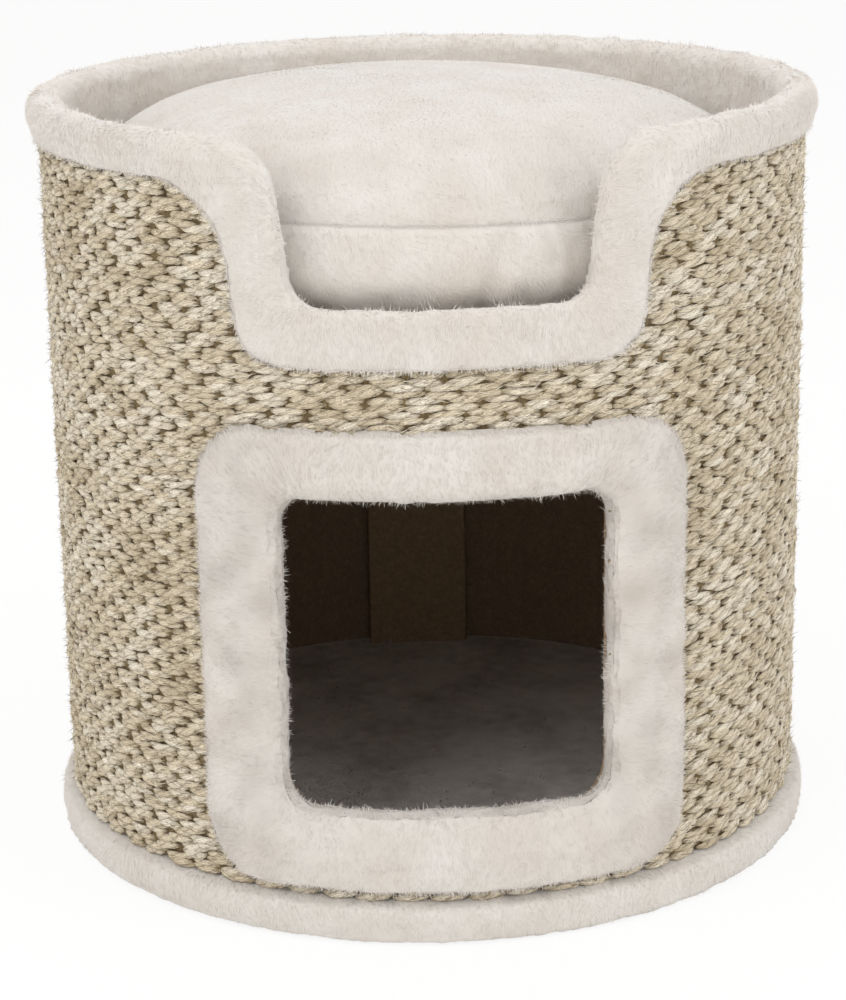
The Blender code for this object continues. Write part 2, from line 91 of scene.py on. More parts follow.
def linear(hex_colour):
    """The linear colour of a six-digit sRGB one, with an alpha of 1."""
    channels = [int(hex_colour[i : i + 2], 16) / 255 for i in (0, 2, 4)]
    return (*[c / 12.92 if c <= 0.04045 else ((c + 0.055) / 1.055) ** 2.4 for c in channels], 1.0)


def add_node(tree, kind, sockets=None, **settings):
    """A node with its settings. Each named socket is linked, where it is given another node's output,
    or set to a value."""
    made = tree.nodes.new(kind)
    for key, value in settings.items():
        setattr(made, key, value)
    for key, value in (sockets or {}).items():
        if isinstance(value, bpy.types.NodeSocket):
            tree.links.new(value, made.inputs[key])
        else:
            made.inputs[key].default_value = value
    return made


def only(piece):
    """Leaves one object selected and active."""
    bpy.ops.object.select_all(action="DESELECT")
    piece.select_set(True)
    bpy.context.view_layer.objects.active = piece
    return piece


bpy.ops.object.select_all(action="DESELECT")
bpy.ops.mesh.primitive_plane_add(size=FLOOR_SIZE)
floor = bpy.context.object
floor.name = "studio_floor"
paper = bpy.data.materials.new("white_paper")
paper.use_nodes = True
tree = paper.node_tree
tree.nodes.clear()
path = add_node(tree, "ShaderNodeLightPath")
seen = add_node(
    tree, "ShaderNodeMath", {0: path.outputs["Is Camera Ray"], 1: path.outputs["Is Glossy Ray"]},
    operation="MAXIMUM",
)
matt = add_node(tree, "ShaderNodeBsdfDiffuse", {"Color": linear("FBFAF8")})
bright = add_node(tree, "ShaderNodeEmission", {"Color": linear("FFFFFF"), "Strength": 1.0})
share = add_node(tree, "ShaderNodeMath", {0: seen.outputs[0], 1: FLOOR_GLOW}, operation="MULTIPLY")
mixed = add_node(
    tree, "ShaderNodeMixShader", {0: share.outputs[0], 1: matt.outputs[0], 2: bright.outputs[0]}
)
add_node(tree, "ShaderNodeOutputMaterial", {"Surface": mixed.outputs[0]})
floor.data.materials.append(paper)

world = bpy.data.worlds.new("studio")
world.use_nodes = True
bpy.context.scene.world = world
tree = world.node_tree
tree.nodes.clear()
path = add_node(tree, "ShaderNodeLightPath")
room = add_node(tree, "ShaderNodeBackground", {"Color": linear("FFFFFF"), "Strength": ROOM_LIGHT})
backdrop = add_node(tree, "ShaderNodeBackground", {"Color": linear("FFFFFF"), "Strength": 1.0})
mixed = add_node(
    tree, "ShaderNodeMixShader",
    {0: path.outputs["Is Camera Ray"], 1: room.outputs[0], 2: backdrop.outputs[0]},
)
add_node(tree, "ShaderNodeOutputWorld", {"Surface": mixed.outputs[0]})

for name, place, power in LAMPS:
    lamp = bpy.data.objects.new(name, bpy.data.lights.new(name, "AREA"))
    lamp.data.energy = power
    lamp.data.shape = "SQUARE"
    lamp.data.size = LAMP_WIDTH
    lamp.location = place
    lamp.rotation_euler = (LAMP_AIM - Vector(place)).to_track_quat("-Z", "Y").to_euler()
    bpy.context.scene.collection.objects.link(lamp)
bpy.context.scene.view_settings.view_transform = "Standard"


# Board wall and battens: plain brown hardboard, bent or sawn. Its pressed fibres give a matt, faintly
# mottled face.
def new_finish(name):
    """An empty node material with its tree and its Principled shader."""
    made = bpy.data.materials.new(name)
    made.use_nodes = True
    made.node_tree.nodes.clear()
    shader = add_node(made.node_tree, "ShaderNodeBsdfPrincipled")
    add_node(made.node_tree, "ShaderNodeOutputMaterial", {"Surface": shader.outputs[0]})
    return made, made.node_tree, shader


def wood_finish(name, dark, pale, flake, relief):
    """Pressed wood: mottled between two colours by fibres or flakes of a size in metres."""
    made, tree, shader = new_finish(name)
    place = add_node(tree, "ShaderNodeTexCoord").outputs["Object"]
    cloudy = add_node(tree, "ShaderNodeTexNoise", {"Vector": place, "Scale": 0.4 / flake, "Detail": 3.0})
    chips = add_node(tree, "ShaderNodeTexVoronoi", {"Vector": place, "Scale": 1 / flake})
    mix = add_node(
        tree, "ShaderNodeMix", {0: 0.45, 2: cloudy.outputs[0], 3: chips.outputs["Distance"]}
    )
    ramp = add_node(tree, "ShaderNodeValToRGB", {0: mix.outputs[0]})
    ramp.color_ramp.elements[0].color = linear(dark)
    ramp.color_ramp.elements[0].position = 0.25
    ramp.color_ramp.elements[1].color = linear(pale)
    ramp.color_ramp.elements[1].position = 0.75
    bump = add_node(
        tree, "ShaderNodeBump", {"Height": mix.outputs[0], "Strength": 0.5, "Distance": relief}
    )
    tree.links.new(ramp.outputs[0], shader.inputs["Base Color"])
    tree.links.new(bump.outputs[0], shader.inputs["Normal"])
    shader.inputs["Roughness"].default_value = 0.82
    return made


def dress(node, finish):
    """Gives a CAD node's own object a finish in its material slot."""
    frame["nodes"][node].data.materials.clear()
    frame["nodes"][node].data.materials.append(finish)


hardboard = wood_finish("brown_hardboard", "7B6652", "9A8268", 0.0016, 0.0001)
sawn_board = wood_finish("sawn_hardboard", "8B7456", "A99072", 0.0020, 0.0001)
dress("wall_shell", hardboard)
for batten in ("back_batten", "left_batten", "right_batten"):
    dress(batten, sawn_board)


# Base and shelf boards: raw chipboard, pressed from pale flakes about 3 mm long.
chipboard = wood_finish("raw_chipboard", "9C7B52", "CDB084", 0.0030, 0.0002)
dress("base_board", chipboard)
dress("shelf_board", chipboard)


# Screws: zinc-plated countersunk steel, driven in from below and through the wall. The plating is plain and
# bright, and slightly uneven from the bath, in patches of about 1 mm.
zinc, tree, shader = new_finish("zinc_plate")
place = add_node(tree, "ShaderNodeTexCoord").outputs["Object"]
spangle = add_node(tree, "ShaderNodeTexNoise", {"Vector": place, "Scale": 900.0})
tone = add_node(tree, "ShaderNodeMapRange", {0: spangle.outputs[0], 3: 0.28, 4: 0.42})
tree.links.new(tone.outputs[0], shader.inputs["Roughness"])
shader.inputs["Base Color"].default_value = linear("B9BABA")
shader.inputs["Metallic"].default_value = 1.0
for node in frame["nodes"]:
    if "_screw_" in node:
        dress(node, zinc)


# Sisal cover: one thick weave glued round the wall. Loosely twisted straw-coloured weft strands lie in
# pairs, float over 13 mm and dive under dark warp yarns, half a float on from one pair to the next.
WALL_RADIUS = 0.1900
STRAND_RADIUS = 0.1888
FLOATS_ROUND = 67
HALF_FLOAT, HALF_THICK, HALF_HIGH = 0.0095, 0.0011, 0.0021
FLOAT_DIVE = 0.0015
PLIES, PLY_TURN, PLY_SWELL = 2, 6.4, 0.12
FIBRES, FIBRE_TURN = 9, 17
SIZE_RANGE = (0.88, 0.75, 0.85), (1.12, 1.25, 1.20)
TILT, TILT_SPREAD = 0.03, 0.05
STRAYING = (0.0008, 0.0003, 0.00025)
EDGE_ROOM = 0.006
RAGGED, RAGGED_LUMP = 0.0008, 0.0016
WAVER, WAVER_LUMP = 0.0014, 0.022
FLOAT_PITCH = math.tau * WALL_RADIUS / FLOATS_ROUND
WEAVE_LOW, WEAVE_HIGH = 0.0211, 0.3721
STRANDS = 116
STRAND_PITCH = (WEAVE_HIGH - WEAVE_LOW) / STRANDS
DOOR_HALF, DOOR_LOW, DOOR_HIGH = 0.0800, 0.0611, 0.2247
NOTCH_HALF, NOTCH_LOW = 0.0750, 0.2967
NOTCH_FLARE, NOTCH_CORNER = 0.0100, 0.0240


def give(piece, kind, **settings):
    """Adds a modifier with its settings and applies it."""
    only(piece)
    modifier = piece.modifiers.new(kind.lower(), kind)
    for key, value in settings.items():
        setattr(modifier, key, value)
    bpy.ops.object.modifier_apply(modifier=modifier.name)
    return piece


def cloudy_texture(name, size, depth=1):
    """A soft noise with lumps of a size in metres."""
    made = bpy.data.textures.new(name, "CLOUDS")
    made.noise_scale = size
    made.noise_depth = depth
    return made


def spots(piece):
    """The places of a piece's vertices, as rows of an array."""
    found = np.empty(len(piece.data.vertices) * 3)
    piece.data.vertices.foreach_get("co", found)
    return found.reshape(-1, 3)


def put(piece, places):
    """Moves a piece's vertices to new places."""
    piece.data.vertices.foreach_set("co", np.ascontiguousarray(places).ravel())
    piece.data.update()


def fill(piece, layer, kind, values):
    """Writes a named attribute on a piece's vertices, over the one that it has."""
    made = piece.data.attributes.get(layer) or piece.data.attributes.new(layer, kind, "POINT")
    key = "vector" if kind == "FLOAT_VECTOR" else "value"
    made.data.foreach_set(key, np.ascontiguousarray(values, np.float32).ravel())


def drop_vertices(piece, unwanted):
    """Deletes the vertices that a mask picks."""
    only(piece)
    bpy.ops.object.mode_set(mode="EDIT")
    bpy.ops.mesh.select_all(action="DESELECT")
    bpy.ops.object.mode_set(mode="OBJECT")
    piece.data.vertices.foreach_set("select", unwanted)
    bpy.ops.object.mode_set(mode="EDIT")
    bpy.ops.mesh.delete(type="VERT")
    bpy.ops.object.mode_set(mode="OBJECT")


def brim(z):
    """How much wider than its floor the notch is at a height: it flares and turns out into the rim."""
    flare = NOTCH_FLARE * np.clip((z - NOTCH_LOW) / (WEAVE_HIGH - NOTCH_LOW), 0, 1)
    rise = np.clip(z - WEAVE_HIGH + NOTCH_CORNER, 0, NOTCH_CORNER)
    return flare + NOTCH_CORNER - np.sqrt(NOTCH_CORNER ** 2 - rise ** 2)


def open_in_board(places, margin):
    """True where the flat sheet is cut away for the doorway or the notch."""
    arc, z = np.abs(places[:, 0]) - margin, places[:, 2]
    doorway = (arc < DOOR_HALF) & (z > DOOR_LOW) & (z < DOOR_HIGH)
    notch = (arc < NOTCH_HALF + brim(z)) & (z > NOTCH_LOW)
    return doorway | notch | (z > WEAVE_HIGH) | (z < WEAVE_LOW)


def sort_faces(piece):
    """Puts a sphere's faces, which come in any order, in the same one at each run: by how far they are
    from a point that lies off all its axes."""
    cursor = bpy.context.scene.cursor
    cursor.location = (3.1, 2.3, 1.7)
    only(piece)
    bpy.ops.object.mode_set(mode="EDIT")
    bpy.ops.mesh.select_all(action="SELECT")
    bpy.ops.mesh.sort_elements(type="CURSOR_DISTANCE", elements={"FACE"})
    bpy.ops.object.mode_set(mode="OBJECT")
    cursor.location = (0.0, 0.0, 0.0)


def strand_rows(name, first, seed):
    """Every fourth weft strand, laid flat with X along the wall and -Y outward, then bent round."""
    bpy.ops.object.select_all(action="DESELECT")
    bpy.ops.mesh.primitive_uv_sphere_add(segments=6, ring_count=7, radius=1.0)
    row = bpy.context.object
    row.name = name
    bpy.ops.transform.rotate(value=math.pi / 2, orient_axis="Y", center_override=(0.0, 0.0, 0.0))
    bpy.ops.object.transform_apply(location=True, rotation=True, scale=True)
    sort_faces(row)
    grain = spots(row)
    along = grain[:, 0]
    turn = np.arctan2(grain[:, 2], -grain[:, 1])
    ply = PLIES * turn - PLY_TURN * along
    fill(row, "along", "FLOAT", along)
    fill(row, "twist", "FLOAT", FIBRES * turn - FIBRE_TURN * along)
    fill(row, "ply", "FLOAT", ply)
    lobe = 1 + PLY_SWELL * np.cos(ply)
    thick = np.clip(1 - np.abs(along) ** 2.2, 0, 1) ** 0.5
    out = np.hypot(grain[:, 1], grain[:, 2]) > 1e-4
    depth = FLOAT_DIVE * np.abs(along) ** 3 - HALF_THICK * lobe * thick * np.cos(turn) * out
    height = HALF_HIGH * lobe * thick * np.sin(turn) * out
    put(row, np.stack([HALF_FLOAT * along, depth, height], 1))
    give(row, "ARRAY", count=FLOATS_ROUND, use_relative_offset=False,
         use_constant_offset=True, constant_offset_displace=(FLOAT_PITCH, 0.0, 0.0))
    give(row, "ARRAY", count=STRANDS // 4, use_relative_offset=False,
         use_constant_offset=True, constant_offset_displace=(0.0, 0.0, 4 * STRAND_PITCH))
    places = spots(row)
    per_float = len(grain)
    centres = places.reshape(-1, per_float, 3).mean(1)
    chance = np.random.default_rng(seed)
    count = len(centres)
    local = places.reshape(-1, per_float, 3) - centres[:, None]
    local *= chance.uniform(*SIZE_RANGE, (count, 3))[:, None]
    tilt = chance.normal(TILT, TILT_SPREAD, count)[:, None]
    local[..., 2] += local[..., 0] * tilt
    centres += chance.normal(0.0, STRAYING, (count, 3))
    centres[:, 0] += (0.5 + 0.5 * (first // 2)) * FLOAT_PITCH - math.pi * WALL_RADIUS
    centres[:, 2] += WEAVE_LOW + STRAND_PITCH * (0.5 + first)
    gone = open_in_board(centres, EDGE_ROOM)
    places = (centres[:, None] + local).reshape(-1, 3)
    put(row, places)
    fill(row, "tone", "FLOAT", np.repeat(chance.uniform(0, 1, count), per_float))
    drop_vertices(row, np.repeat(gone, per_float))
    ragged = cloudy_texture(name + "_ragged", RAGGED_LUMP)
    give(row, "DISPLACE", texture=ragged, strength=RAGGED)
    waver = cloudy_texture(name + "_waver", WAVER_LUMP, 2)
    give(row, "DISPLACE", texture=waver, direction="Z", strength=WAVER, mid_level=0.5)
    places = spots(row)
    turn = places[:, 0] / WALL_RADIUS
    radius = STRAND_RADIUS - places[:, 1]
    put(row, np.stack([radius * np.sin(turn), -radius * np.cos(turn), places[:, 2]], 1))
    only(row)
    bpy.ops.object.shade_smooth()
    return row


def facing(piece):
    """The normals of a piece's vertices, as rows of an array."""
    found = np.empty(len(piece.data.vertices) * 3)
    piece.data.vertices.foreach_get("normal", found)
    return found.reshape(-1, 3)


BLADE_FLATNESS = 0.22


def fibres_on(skin, name, finish, per_mm2, length, width, stand, scatter, seed):
    """Fibres as their own piece: flat tapering blades rooted in a skin, as dense as the skin's share of
    pile and laid along its comb, standing up by a share of their length and strewn by another."""
    bpy.ops.object.select_all(action="DESELECT")
    bpy.ops.mesh.primitive_cone_add(
        vertices=3, radius1=width / 2, depth=length, location=(0, 0, length / 2)
    )
    tuft = bpy.context.object
    tuft.scale.y = BLADE_FLATNESS
    bpy.ops.object.transform_apply(location=True, rotation=True, scale=True)
    fill(tuft, "tip", "FLOAT", spots(tuft)[:, 2] / length)
    tree = bpy.data.node_groups.new(name, "GeometryNodeTree")
    tree.interface.new_socket("Geometry", in_out="INPUT", socket_type="NodeSocketGeometry")
    tree.interface.new_socket("Geometry", in_out="OUTPUT", socket_type="NodeSocketGeometry")
    ground = add_node(tree, "NodeGroupInput")
    share = add_node(tree, "GeometryNodeInputNamedAttribute", {"Name": "pile"})
    thick = add_node(
        tree, "ShaderNodeMath", {0: share.outputs[0], 1: per_mm2 * 1e6}, operation="MULTIPLY"
    )
    roots = add_node(
        tree, "GeometryNodeDistributePointsOnFaces",
        {"Mesh": ground.outputs[0], "Density": thick.outputs[0], "Seed": seed},
    )
    comb = add_node(
        tree, "GeometryNodeInputNamedAttribute", {"Name": "comb"}, data_type="FLOAT_VECTOR"
    )
    loose = add_node(
        tree, "FunctionNodeRandomValue",
        {0: (-scatter,) * 3, 1: (scatter,) * 3, "Seed": seed + 1}, data_type="FLOAT_VECTOR",
    )
    up = add_node(
        tree, "ShaderNodeVectorMath",
        {0: roots.outputs["Normal"], 1: (stand,) * 3, 2: comb.outputs[0]}, operation="MULTIPLY_ADD",
    )
    lie = add_node(
        tree, "ShaderNodeVectorMath", {0: up.outputs[0], 1: loose.outputs[0]}, operation="ADD"
    )
    aim = add_node(tree, "FunctionNodeAlignRotationToVector", {"Vector": lie.outputs[0]}, axis="Z")
    turn = add_node(
        tree, "FunctionNodeAlignRotationToVector",
        {"Rotation": aim.outputs[0], "Vector": roots.outputs["Normal"]}, axis="Y", pivot_axis="Z",
    )
    chance = add_node(tree, "FunctionNodeRandomValue", {2: 0.0, 3: 1.0, "Seed": seed + 2})
    noted = add_node(
        tree, "GeometryNodeStoreNamedAttribute",
        {0: roots.outputs[0], "Name": "tone", "Value": chance.outputs[1]}, domain="POINT",
    )
    long = add_node(tree, "FunctionNodeRandomValue", {2: 0.65, 3: 1.15, "Seed": seed + 3})
    size = add_node(tree, "ShaderNodeCombineXYZ", {0: 1.0, 1: 1.0, 2: long.outputs[1]})
    source = add_node(tree, "GeometryNodeObjectInfo", {"Object": tuft})
    tufts = add_node(
        tree, "GeometryNodeInstanceOnPoints",
        {
            "Points": noted.outputs[0],
            "Instance": source.outputs["Geometry"],
            "Rotation": turn.outputs[0],
            "Scale": size.outputs[0],
        },
    )
    real = add_node(tree, "GeometryNodeRealizeInstances", {0: tufts.outputs[0]})
    add_node(tree, "NodeGroupOutput", {0: real.outputs[0]})
    pile = skin.copy()
    pile.data = skin.data.copy()
    pile.name = name
    bpy.context.scene.collection.objects.link(pile)
    give(pile, "NODES", node_group=tree)
    pile.data.materials.clear()
    pile.data.materials.append(finish)
    bpy.data.objects.remove(tuft)
    only(pile)
    bpy.ops.object.shade_flat()
    return pile


# Undyed sisal: hard, straight leaf fibres, twisted into two plies. Strands run from straw to pale cream in
# lots some 35 mm long. Their colour also carries painted shade in fine lines along the twist, between the
# plies and toward the ends where they dive, and painted light on the crests of the plies.
sisal, tree, shader = new_finish("twisted_sisal")
place = add_node(tree, "ShaderNodeTexCoord")
tone = add_node(tree, "ShaderNodeAttribute", attribute_name="tone")
along = add_node(tree, "ShaderNodeAttribute", attribute_name="along")
lots = add_node(
    tree, "ShaderNodeTexNoise", {"Vector": place.outputs["Object"], "Scale": 28.0, "Detail": 2.0}
)
blend = add_node(
    tree, "ShaderNodeMath", {0: tone.outputs["Fac"], 1: 0.45, 2: lots.outputs[0]},
    operation="MULTIPLY_ADD",
)
ramp = add_node(tree, "ShaderNodeValToRGB", {0: blend.outputs[0]})
ramp.color_ramp.elements[0].color = linear("CFBE9F")
ramp.color_ramp.elements[0].position = 0.40
ramp.color_ramp.elements[1].color = linear("F3E8D3")
ramp.color_ramp.elements[1].position = 0.95
middle = ramp.color_ramp.elements.new(0.68)
middle.color = linear("E5D6BA")
# Painted shade: each strand darkens toward a brown (A8946C) at its two ends, where it dives under the warp.
dive_shade_share = add_node(tree, "ShaderNodeMath", {0: along.outputs["Fac"], 1: 4.0}, operation="POWER")
painted_dive_shade = add_node(
    tree, "ShaderNodeMix",
    {0: dive_shade_share.outputs[0], 6: ramp.outputs[0], 7: linear("A8946C")}, data_type="RGBA",
)
fibre_map = add_node(
    tree, "ShaderNodeMapping", {"Vector": place.outputs["Object"], "Scale": (600.0, 600.0, 2600.0)}
)
fibre = add_node(
    tree, "ShaderNodeTexNoise", {"Vector": fibre_map.outputs[0], "Scale": 1.0, "Detail": 4.0}
)
twist = add_node(tree, "ShaderNodeAttribute", attribute_name="twist")
wander = add_node(
    tree, "ShaderNodeMath", {0: fibre.outputs[0], 1: 16.0, 2: twist.outputs["Fac"]},
    operation="MULTIPLY_ADD",
)
line = add_node(tree, "ShaderNodeMath", {0: wander.outputs[0]}, operation="SINE")
lines = add_node(tree, "ShaderNodeMapRange", {0: line.outputs[0], 1: -1.0, 2: 0.4, 3: 0.0, 4: 1.0})
ply = add_node(tree, "ShaderNodeAttribute", attribute_name="ply")
own_start = add_node(
    tree, "ShaderNodeMath", {0: tone.outputs["Fac"], 1: math.tau, 2: ply.outputs["Fac"]},
    operation="MULTIPLY_ADD",
)
ply_wander = add_node(
    tree, "ShaderNodeMath", {0: fibre.outputs[0], 1: 3.5, 2: own_start.outputs[0]},
    operation="MULTIPLY_ADD",
)
wave = add_node(tree, "ShaderNodeMath", {0: ply_wander.outputs[0]}, operation="SINE")
plies = add_node(tree, "ShaderNodeMapRange", {0: wave.outputs[0], 1: -1.0, 2: -0.45, 3: 0.0, 4: 1.0})
fine = add_node(
    tree, "ShaderNodeMath", {0: lines.outputs[0], 1: 0.65, 2: fibre.outputs[0]},
    operation="MULTIPLY_ADD",
)
relief = add_node(
    tree, "ShaderNodeMath", {0: plies.outputs[0], 1: 0.7, 2: fine.outputs[0]},
    operation="MULTIPLY_ADD",
)
# Painted shade and light: the relief tints the colour darker in its hollows and up to a quarter lighter on
# its crests.
height = add_node(tree, "ShaderNodeMapRange", {0: relief.outputs[0], 1: 0.55, 2: 1.70, 3: 0.0, 4: 1.0})
depth = add_node(
    tree, "ShaderNodeMix",
    {0: height.outputs[0], 6: linear("C4BCAE"), 7: (1.24, 1.25, 1.27, 1.0)}, data_type="RGBA",
)
finish = add_node(
    tree, "ShaderNodeMix", {0: 1.0, 6: painted_dive_shade.outputs[2], 7: depth.outputs[2]},
    data_type="RGBA", blend_type="MULTIPLY",
)
bump = add_node(
    tree, "ShaderNodeBump", {"Height": relief.outputs[0], "Strength": 0.9, "Distance": 0.0008}
)
tree.links.new(finish.outputs[2], shader.inputs["Base Color"])
tree.links.new(bump.outputs[0], shader.inputs["Normal"])
shader.inputs["Roughness"].default_value = 0.85
shader.inputs["Sheen Weight"].default_value = 0.15

# Stray sisal: single leaf fibres that have come out of the twist, two in three pale and the rest brown.
stray_fibre, tree, shader = new_finish("stray_sisal_fibre")
tone = add_node(tree, "ShaderNodeAttribute", attribute_name="tone")
ramp = add_node(tree, "ShaderNodeValToRGB", {0: tone.outputs["Fac"]})
ramp.color_ramp.interpolation = "CONSTANT"
ramp.color_ramp.elements[0].color = linear("725E3C")
ramp.color_ramp.elements[1].color = linear("F3EAD8")
ramp.color_ramp.elements[1].position = 0.35
tree.links.new(ramp.outputs[0], shader.inputs["Base Color"])
shader.inputs["Roughness"].default_value = 0.8

# A place times its normal, in plan, is past this value where a strand faces outward.
FACES_OUT = 0.10
for first in range(4):
    weft = strand_rows(f"sisal_weft_{first + 1}", first, 11 + first)
    weft.data.materials.append(sisal)
    places, normals = spots(weft), facing(weft)
    x, y = places[:, 0], places[:, 1]
    fill(weft, "pile", "FLOAT", np.sum(normals * places * (1, 1, 0), 1) > FACES_OUT)
    fill(weft, "comb", "FLOAT_VECTOR", 5 * np.stack([-y, x, np.full_like(x, 0.04)], 1))
    frays = fibres_on(
        weft, weft.name + "_frays", stray_fibre, per_mm2=0.10, length=0.0060, width=0.0004,
        stand=0.16, scatter=0.45, seed=61 + first,
    )
    for piece in (weft, frays):
        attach(piece, "tower")
    if first == 0:
        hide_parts("sisal_cover")


# Warp of the sisal cover: dark olive-brown yarns, upright behind the strands, three to every float. They
# show only in the pits between the strands. The wall's seam stays open by 0.6 mm at the back.
WARP_RADIUS = 0.1876
WARP_RIDGE, WARP_THICKNESS = 0.0004, 0.0008
WARP_YARNS = 3
WARP_INSET, WARP_SEAM = 0.001, 0.0006
COLUMNS, ROWS = FLOATS_ROUND * 7, 40
bpy.ops.object.select_all(action="DESELECT")
bpy.ops.mesh.primitive_grid_add(x_subdivisions=COLUMNS, y_subdivisions=ROWS, size=1.0)
warp = bpy.context.object
warp.name = "sisal_warp"
places = spots(warp)
arc = places[:, 0] * (math.tau * WALL_RADIUS - WARP_SEAM)
height = WEAVE_LOW + WARP_INSET + (places[:, 1] + 0.5) * (WEAVE_HIGH - WEAVE_LOW - 2 * WARP_INSET)
places = np.stack([arc, np.zeros_like(arc), height], 1)
put(warp, places)
drop_vertices(warp, open_in_board(places, 2 * WARP_INSET))
places = spots(warp)
turn = places[:, 0] / WALL_RADIUS
ridge = WARP_RADIUS + WARP_RIDGE * np.cos(WARP_YARNS * math.tau * places[:, 0] / FLOAT_PITCH)
put(warp, np.stack([ridge * np.sin(turn), -ridge * np.cos(turn), places[:, 2]], 1))
only(warp)
bpy.ops.object.mode_set(mode="EDIT")
bpy.ops.mesh.select_all(action="SELECT")
bpy.ops.mesh.normals_make_consistent(inside=False)
bpy.ops.object.mode_set(mode="OBJECT")
give(warp, "SOLIDIFY", thickness=WARP_THICKNESS, offset=-1.0)
bpy.ops.object.shade_smooth()

# Spun plant-fibre yarn, dark and matt: its fibres are upright, some 0.7 mm wide and 4 mm long.
yarn, tree, shader = new_finish("dark_warp_yarn")
place = add_node(tree, "ShaderNodeTexCoord").outputs["Object"]
upright = add_node(tree, "ShaderNodeMapping", {"Vector": place, "Scale": (1500.0, 1500.0, 260.0)})
fuzz = add_node(tree, "ShaderNodeTexNoise", {"Vector": upright.outputs[0], "Scale": 1.0, "Detail": 3.0})
ramp = add_node(tree, "ShaderNodeValToRGB", {0: fuzz.outputs[0]})
ramp.color_ramp.elements[0].color = linear("5C4C34")
ramp.color_ramp.elements[0].position = 0.35
ramp.color_ramp.elements[1].color = linear("85724D")
ramp.color_ramp.elements[1].position = 0.7
bump = add_node(
    tree, "ShaderNodeBump", {"Height": fuzz.outputs[0], "Strength": 0.8, "Distance": 0.0004}
)
tree.links.new(ramp.outputs[0], shader.inputs["Base Color"])
tree.links.new(bump.outputs[0], shader.inputs["Normal"])
shader.inputs["Roughness"].default_value = 0.9
warp.data.materials.append(yarn)
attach(warp, "tower")


# Base cover: cream faux-fur plush stretched over the round base and hemmed under it. Its pile is short,
# dense and soft, and lies in patches. It is also the floor of the cave, where its colour is browner and
# darker in patches: painted shade.
LUMP, TOUSLE_LUMP, TOUSLE = 0.018, 0.005, 0.0012
WELD = 1e-5


def plush_skin(name, node, voxel, lumps):
    """A soft skin from a CAD node's own form: an even mesh, a little smoothed and lumpy."""
    skin = frame["nodes"][node].copy()
    skin.data = skin.data.copy()
    skin.name = name
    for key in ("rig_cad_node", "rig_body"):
        if key in skin:
            del skin[key]
    skin.parent = None
    skin.hide_render = skin.hide_viewport = False
    bpy.context.scene.collection.objects.link(skin)
    skin.data.materials.clear()
    only(skin)
    bpy.ops.object.mode_set(mode="EDIT")
    bpy.ops.mesh.select_all(action="SELECT")
    bpy.ops.mesh.remove_doubles(threshold=WELD)
    bpy.ops.object.mode_set(mode="OBJECT")
    give(skin, "REMESH", mode="VOXEL", voxel_size=voxel)
    give(skin, "SMOOTH", factor=0.5, iterations=7)
    if lumps:
        give(skin, "DISPLACE", texture=cloudy_texture(name + "_lumps", LUMP), strength=lumps)
        tousle = cloudy_texture(name + "_tousle", TOUSLE_LUMP)
        give(skin, "DISPLACE", texture=tousle, strength=TOUSLE)
    only(skin)
    bpy.ops.object.shade_smooth()
    skin.data.materials.append(plush_ground)
    return skin


def patchy(tree, dark, pale):
    """Two shades of plush that run into each other in soft patches some 30 mm across."""
    place = add_node(tree, "ShaderNodeTexCoord").outputs["Object"]
    patch = add_node(tree, "ShaderNodeTexNoise", {"Vector": place, "Scale": 34.0, "Detail": 3.0})
    ramp = add_node(tree, "ShaderNodeValToRGB", {0: patch.outputs[0]})
    ramp.color_ramp.elements[0].color = linear(dark)
    ramp.color_ramp.elements[0].position = 0.30
    ramp.color_ramp.elements[1].color = linear(pale)
    ramp.color_ramp.elements[1].position = 0.75
    return ramp


def with_painted_shade(tree, colour):
    """A plush colour mixed toward a dark brown by the share noted on the skin: painted shade."""
    pressed = add_node(tree, "ShaderNodeAttribute", attribute_name="pressed")
    return add_node(
        tree, "ShaderNodeMix",
        {0: pressed.outputs["Fac"], 6: colour.outputs[2], 7: linear("5E4A38")}, data_type="RGBA",
    )


# Plush ground: the cloth and the roots of its pile, matt, with hair strokes some 0.8 mm wide and 4 mm long
# that follow the pile's lie. It is a shade darker than the hair tips: painted shade among the roots. It is
# a
# fifth darker in a sewn seam: painted shadow in the seam's valley.
plush_ground, tree, shader = new_finish("cream_plush_ground")
nap = add_node(tree, "ShaderNodeAttribute", attribute_name="nap")
strokes = add_node(
    tree, "ShaderNodeMapping", {"Vector": nap.outputs["Vector"], "Scale": (1300.0, 260.0, 1.0)}
)
hairs = add_node(
    tree, "ShaderNodeTexNoise",
    {"Vector": strokes.outputs[0], "Scale": 1.0, "Detail": 3.0, "Distortion": 0.6},
)
# Painted shade: the cloth is a shade darker than the hair tips, as the shade among the roots of the pile.
ramp = patchy(tree, "D0C8BF", "DAD6D0")
streak = add_node(tree, "ShaderNodeMapRange", {0: hairs.outputs[0], 1: 0.25, 2: 0.75, 3: 0.94, 4: 1.03})
colour = add_node(
    tree, "ShaderNodeMix", {0: 1.0, 6: ramp.outputs[0], 7: streak.outputs[0]},
    data_type="RGBA", blend_type="MULTIPLY",
)
bump = add_node(
    tree, "ShaderNodeBump", {"Height": hairs.outputs[0], "Strength": 0.4, "Distance": 0.0006}
)
